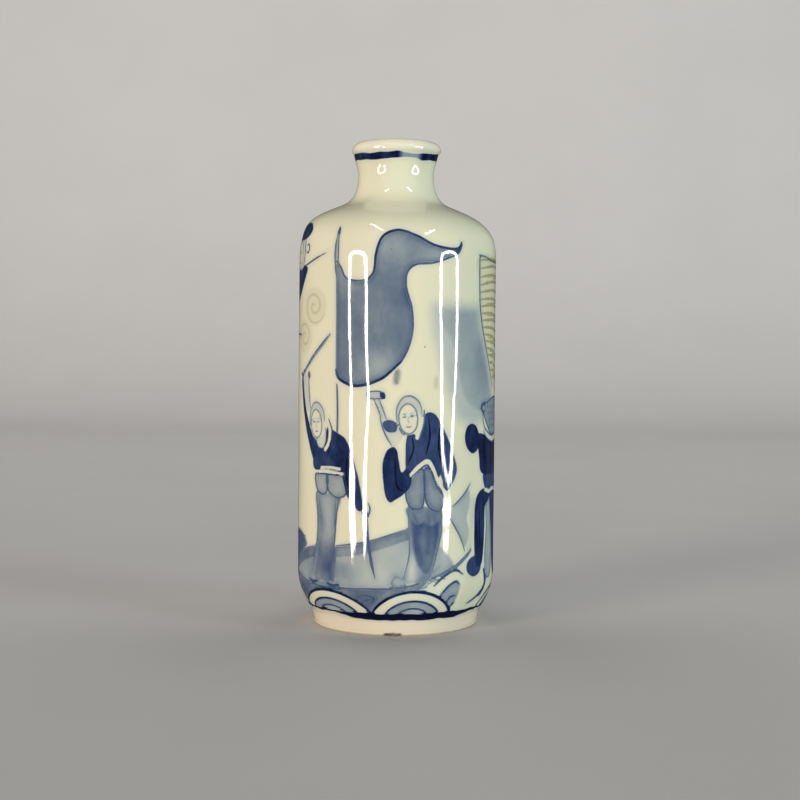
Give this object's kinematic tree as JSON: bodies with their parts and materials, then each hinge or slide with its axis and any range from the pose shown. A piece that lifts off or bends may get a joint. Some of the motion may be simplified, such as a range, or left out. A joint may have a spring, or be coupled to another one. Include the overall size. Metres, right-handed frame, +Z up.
{
  "type": "snuff bottle",
  "caption": "Small cylindrical porcelain bottle with rolled lip, waisted neck and foot ring, painted in underglaze blue with boatmen, banners and waves; holds powdered snuff.",
  "frame": {"origin": "on the surface the foot stands on, in the axis of the cylindrical body", "axes": "+Z up through the mouth; the painted front with the two boatmen looks along -Y; +X to the viewer's right"},
  "size_m": [0.0318, 0.0318, 0.0775],
  "materials": {
    "glazed_porcelain": "clear glossy glaze over creamy greenish white porcelain, painted under the glaze in navy to pale cobalt blue with a little pale brown; the rim of the foot is bare cream biscuit"
  },
  "bodies": {
    "root": {"bottle": "glazed_porcelain"}
  },
  "joints": []
}
